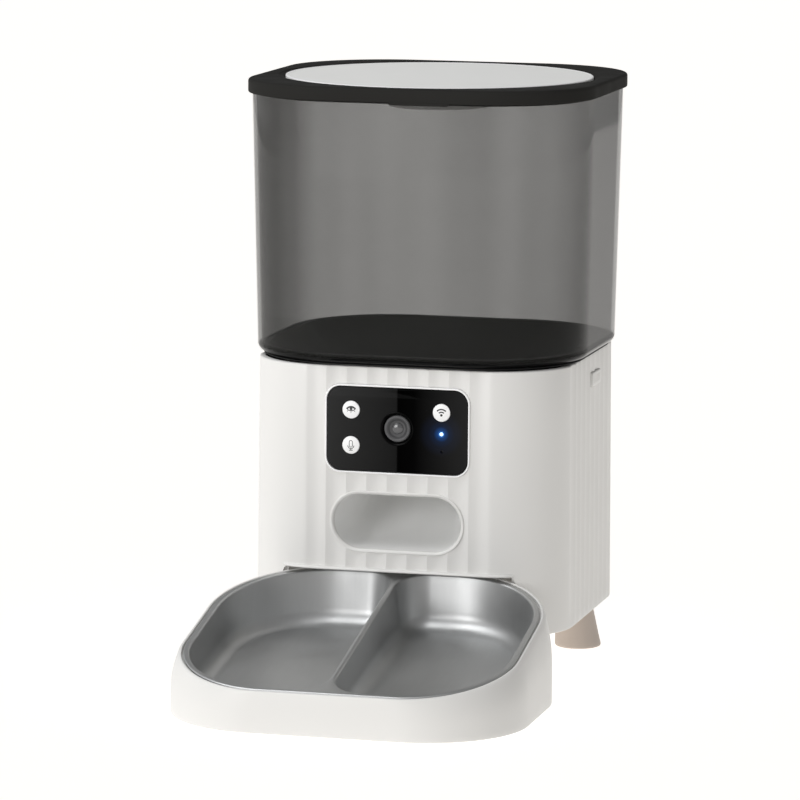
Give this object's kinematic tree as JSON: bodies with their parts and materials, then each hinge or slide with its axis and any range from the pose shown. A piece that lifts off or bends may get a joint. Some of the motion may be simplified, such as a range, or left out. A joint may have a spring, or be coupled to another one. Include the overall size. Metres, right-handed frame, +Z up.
{
  "type": "automatic pet feeder",
  "caption": "Automatic pet feeder with a smoky lift-off hopper, fluted white body, gloss black camera panel, feed chute, and a pull-out tray holding a divided steel bowl.",
  "frame": {"origin": "on the floor, under the centre of the whole feeder's box at rest", "axes": "+Z up, -Y towards the front where the tray stands out, +X to the right as the feeder faces the viewer"},
  "size_m": [0.2068, 0.3556, 0.346],
  "materials": {
    "white_plastic": "satin",
    "smoky_clear": "polished, see-through",
    "gloss_black": "high gloss",
    "dark_plastic": "fine matt",
    "grey_plastic": "satin",
    "taupe_plastic": "fine matt",
    "black_rubber": "matt",
    "steel": "pressed, satin",
    "acetal": "smooth",
    "circuit_board": "solder mask",
    "lens_glass": "coated",
    "blue_light": "lit light pipe"
  },
  "bodies": {
    "base": {"body_shell": "white_plastic", "base_plate": "white_plastic", "tray_bay": "white_plastic", "mid_deck": "white_plastic", "rotor_housing": "acetal", "chute": "grey_plastic", "gearbox_case": "dark_plastic", "gearbox_cover": "dark_plastic", "idler_pin": "steel", "gear_motor": "steel", "panel_bezel": "white_plastic", "panel_glass": "gloss_black", "panel_pcb": "circuit_board", "main_pcb": "circuit_board", "speaker": "dark_plastic", "power_socket": "dark_plastic", "battery_box": "white_plastic", "base_screw_1": "steel", "base_screw_2": "steel", "base_screw_3": "steel", "base_screw_4": "steel", "foot_rear_right": "taupe_plastic", "foot_rear_left": "taupe_plastic", "foot_front_right": "taupe_plastic", "foot_front_left": "taupe_plastic", "lens_ring": "grey_plastic", "camera_lens": "lens_glass", "camera_housing": "dark_plastic", "camera_pcb": "circuit_board", "status_led": "blue_light", "microphone": "dark_plastic", "battery_contact": "steel", "battery_spring_1": "steel", "battery_spring_2": "steel", "battery_spring_3": "steel", "release_spring_right": "steel", "release_spring_left": "steel"},
    "hopper": {"hopper_wall": "smoky_clear", "hopper_funnel": "dark_plastic", "hopper_seal": "black_rubber"},
    "lid": {"lid_frame": "gloss_black", "lid_disc": "white_plastic", "lid_seal": "black_rubber", "desiccant_holder": "white_plastic"},
    "desiccant_cap": {"desiccant_cap": "white_plastic"},
    "feed_rotor": {"rotor": "acetal", "stirrer": "acetal", "drive_shaft": "steel", "output_gear": "acetal"},
    "idler": {"idler_gear": "acetal"},
    "motor_pinion": {"motor_pinion": "steel"},
    "tray": {"tray": "white_plastic"},
    "bowl": {"bowl": "steel"},
    "battery_door": {"battery_door": "white_plastic"},
    "eye_button": {"eye_button": "white_plastic"},
    "microphone_button": {"microphone_button": "white_plastic"},
    "wifi_button": {"wifi_button": "white_plastic"},
    "release_button_right": {"release_button_right": "white_plastic"},
    "release_button_left": {"release_button_left": "white_plastic"}
  },
  "joints": [
    {"name": "hopper_lift", "type": "slide", "parent": "base", "child": "hopper", "axis": [0, 0, 1], "range_m": [0, 0.06]},
    {"name": "lid_lift", "type": "slide", "parent": "hopper", "child": "lid", "axis": [0, 0, 1], "range_m": [0, 0.05]},
    {"name": "desiccant_twist", "type": "hinge", "parent": "lid", "child": "desiccant_cap", "pos_m": [0, 0.0748, 0.3296], "axis": [0, 0, 1], "range_deg": [0, 45]},
    {"name": "feed_rotor_spin", "type": "hinge", "parent": "base", "child": "feed_rotor", "pos_m": [0, 0.0748, 0.14], "axis": [0, 0, 1], "continuous": true},
    {"name": "idler_spin", "type": "hinge", "parent": "base", "child": "idler", "pos_m": [0.024, 0.0748, 0.092], "axis": [0, 0, 1], "continuous": true},
    {"name": "motor_spin", "type": "hinge", "parent": "base", "child": "motor_pinion", "pos_m": [0.044, 0.0748, 0.088], "axis": [0, 0, 1], "continuous": true},
    {"name": "tray_slide", "type": "slide", "parent": "base", "child": "tray", "axis": [0, -1, 0], "range_m": [0, 0.05]},
    {"name": "bowl_tilt", "type": "hinge", "parent": "tray", "child": "bowl", "pos_m": [0, -0.0069, 0.0637], "axis": [-1, 0, 0], "range_deg": [0, 14]},
    {"name": "battery_door_hinge", "type": "hinge", "parent": "base", "child": "battery_door", "pos_m": [0, 0.1512, 0.032], "axis": [1, 0, 0], "range_deg": [0, 90]},
    {"name": "eye_press", "type": "slide", "parent": "base", "child": "eye_button", "axis": [0, 1, 0], "range_m": [0, 0.0008], "stiffness_N_per_m": 400},
    {"name": "microphone_press", "type": "slide", "parent": "base", "child": "microphone_button", "axis": [0, 1, 0], "range_m": [0, 0.0008], "stiffness_N_per_m": 400},
    {"name": "wifi_press", "type": "slide", "parent": "base", "child": "wifi_button", "axis": [0, 1, 0], "range_m": [0, 0.0008], "stiffness_N_per_m": 400},
    {"name": "release_right_press", "type": "slide", "parent": "base", "child": "release_button_right", "axis": [-1, 0, 0], "range_m": [0, 0.003], "stiffness_N_per_m": 300, "deforming": ["release_spring_right"]},
    {"name": "release_left_press", "type": "slide", "parent": "base", "child": "release_button_left", "axis": [1, 0, 0], "range_m": [0, 0.003], "stiffness_N_per_m": 300, "deforming": ["release_spring_left"]}
  ],
  "couplings": [
    {"joint": "idler_spin", "follows": "feed_rotor_spin", "ratio": -3},
    {"joint": "motor_spin", "follows": "feed_rotor_spin", "ratio": 9}
  ]
}
